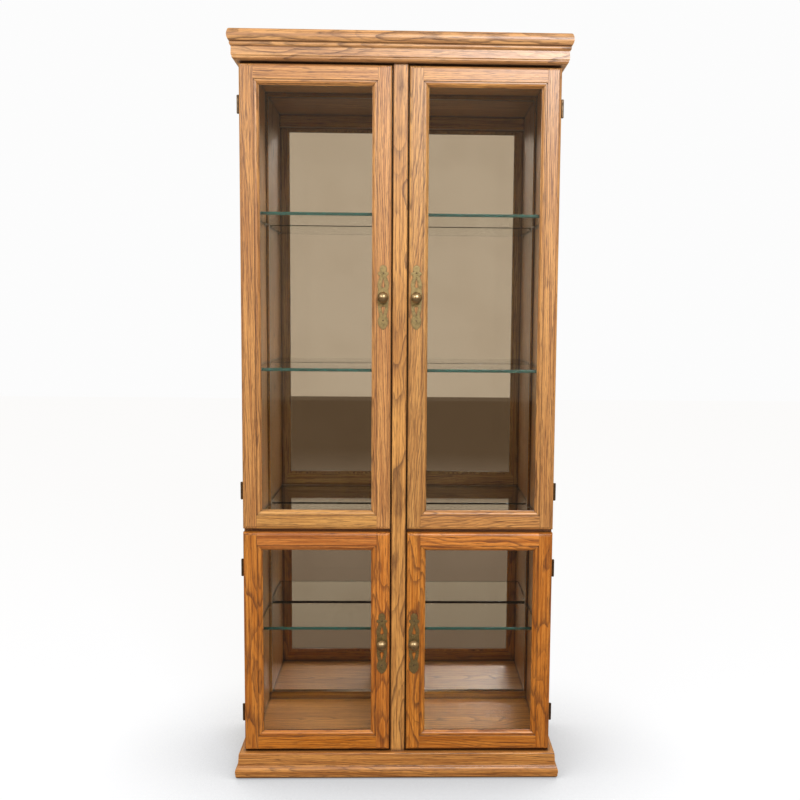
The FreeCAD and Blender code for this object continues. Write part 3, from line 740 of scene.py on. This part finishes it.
def add_plate_pins(metals):
    """Domed pins through both ends of every back plate."""
    for door in DOORS:
        low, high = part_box(door + "_back_plate")
        middle = (low + high) / 2
        bm = bmesh.new()
        for offset in PLATE_PIN_OFFSETS:
            centre = Vector((middle.x, low.y, middle.z + offset))
            lathe(bm, scaled(PLATE_PIN_PROFILE), centre, -1)
        object_from(door + "_plate_pins", bm, door + "_door", "dark_bronze", metals["bronze"])


def add_back_brads(metals):
    """Brads round the edge of the back board."""
    low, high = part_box("back_board")
    left, right = low.x + BRAD_INSET, high.x - BRAD_INSET
    bottom, top = low.z + BRAD_INSET, high.z - BRAD_INSET
    columns = round((high.x - low.x) / BRAD_SPACING)
    rows = round((high.z - low.z) / BRAD_SPACING)
    places = set()
    for column in range(columns + 1):
        x = left + (right - left) * column / columns
        places.update(((x, bottom), (x, top)))
    for row in range(1, rows):
        z = bottom + (top - bottom) * row / rows
        places.update(((left, z), (right, z)))
    bm = bmesh.new()
    for x, z in sorted(places):
        lathe(bm, scaled(BRAD_PROFILE), Vector((x, high.y, z)), 1, segments=12)
    object_from("back_brads", bm, "cabinet", "pin_steel", metals["nickel"])


# ---------------------------------------------------------------- stage

def seen_directly(graph):
    """1 for what the camera sees straight or through glass, 0 after any reflection."""
    path = graph.add("ShaderNodeLightPath")
    bounces = graph.math("ADD", path.outputs["Diffuse Depth"], path.outputs["Glossy Depth"])
    return graph.math("SUBTRACT", 1.0, bounces, clamp=True)


def pale_floor():
    """Pale floor with a soft shadow round the base; reflections and bounced light find a warm one."""
    material, graph, shader, output = new_material("pale_floor")
    cloud = graph.noise(object_place(graph), (1.5, 1.5, 1.5), detail=3)
    clouded = tuple(level * FLOOR_CLOUD for level in FLOOR_PALE)
    pale = graph.mix(cloud, FLOOR_PALE, clouded)
    colour = graph.mix(seen_directly(graph), FLOOR_IN_MIRROR, pale)
    graph.feed(shader.inputs["Base Color"], colour)
    shader.inputs["Roughness"].default_value = 0.8
    shader.inputs["Specular IOR Level"].default_value = 0.0
    lift = graph.add("ShaderNodeEmission")
    open_share = crevice(graph, BASE_SHADOW_REACH)
    unshaded = graph.smooth(open_share, BASE_SHADOW_DEEPEST, 1.0, BASE_SHADOW_DEEPEST, 1.0)
    strength = graph.math("MULTIPLY", unshaded, FLOOR_LIFT)
    graph.feed(lift.inputs["Strength"], graph.math("MULTIPLY", seen_directly(graph), strength))
    both = graph.add("ShaderNodeAddShader")
    graph.feed(both.inputs[0], shader.outputs[0])
    graph.feed(both.inputs[1], lift.outputs[0])
    graph.feed(output.inputs["Surface"], both.outputs[0])
    return material


def make_floor():
    """A wide flat floor just under the cabinet."""
    sides = ((-1, -1), (1, -1), (1, 1), (-1, 1))
    corners = [Vector((x * FLOOR_REACH, y * FLOOR_REACH, FLOOR_LEVEL)) for x, y in sides]
    mesh = bpy.data.meshes.new("floor")
    mesh.from_pydata(corners, [], [(0, 1, 2, 3)])
    mesh.materials.append(pale_floor())
    floor = bpy.data.objects.new("floor", mesh)
    bpy.context.scene.collection.objects.link(floor)


def area_light(name, place, target, size, power, colour):
    """Soft rectangular light aimed at a point."""
    data = bpy.data.lights.new(name, "AREA")
    data.shape = "RECTANGLE"
    data.size, data.size_y = size
    data.energy = power
    data.color = colour
    obj = bpy.data.objects.new(name, data)
    bpy.context.scene.collection.objects.link(obj)
    obj.location = place
    aim = Vector(target) - Vector(place)
    obj.rotation_euler = aim.to_track_quat("-Z", "Y").to_euler()


def make_world():
    """White studio to look at, and a dimmer warm room round it to light and mirror the cabinet."""
    world = bpy.data.worlds.new("studio")
    world.use_nodes = True
    graph = Graph(world.node_tree)
    output = world.node_tree.nodes["World Output"]
    white = world.node_tree.nodes["Background"]
    white.inputs["Color"].default_value = (1.0, 1.0, 1.0, 1)
    white.inputs["Strength"].default_value = BACKGROUND_STRENGTH
    room = graph.add("ShaderNodeBackground")
    room.inputs["Color"].default_value = ROOM_COLOUR
    room.inputs["Strength"].default_value = ROOM_STRENGTH
    chooser = graph.add("ShaderNodeMixShader")
    graph.feed(chooser.inputs[0], seen_directly(graph))
    graph.feed(chooser.inputs[1], room.outputs[0])
    graph.feed(chooser.inputs[2], white.outputs[0])
    graph.feed(output.inputs["Surface"], chooser.outputs[0])
    bpy.context.scene.world = world


def make_camera(door_face):
    """The camera, in front of the door faces at the given Y."""
    data = bpy.data.cameras.new("view")
    data.lens = CAMERA_LENS
    data.sensor_width = CAMERA_SENSOR
    data.shift_x, data.shift_y = CAMERA_SHIFT
    obj = bpy.data.objects.new("view", data)
    bpy.context.scene.collection.objects.link(obj)
    place = Matrix.Translation((CAMERA_X, door_face - CAMERA_DISTANCE, CAMERA_HEIGHT))
    turn = Matrix.Rotation(math.radians(CAMERA_TURN), 4, "Z")
    tilt = Matrix.Rotation(math.radians(90 - CAMERA_PITCH_DOWN), 4, "X")
    roll = Matrix.Rotation(math.radians(CAMERA_ROLL), 4, "Z")
    obj.matrix_world = place @ turn @ tilt @ roll
    bpy.context.scene.camera = obj


def main():
    """Finish the CAD nodes, add the pieces made here, and set the stage round them."""
    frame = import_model()
    nodes = frame["nodes"]
    make_camera(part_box("upper_left_top_rail")[0].y)
    metals = {key: aged_metal(*finish) for key, finish in METALS.items()}
    finish_wood(nodes, frame["record"])
    finish_other(nodes, metals)
    face_glass = shelf_face_glass()
    edge_glass = shelf_edge_glass()
    for node in SHELVES:
        glass_shelf(node, face_glass, edge_glass)
    add_plate_pins(metals)
    add_hinge_screws(metals, random.Random(SCREW_SEED))
    add_back_brads(metals)
    make_floor()
    make_world()
    for name, settings in LIGHTS.items():
        area_light(name, *settings)
    bpy.context.scene.view_settings.view_transform = "Standard"


main()
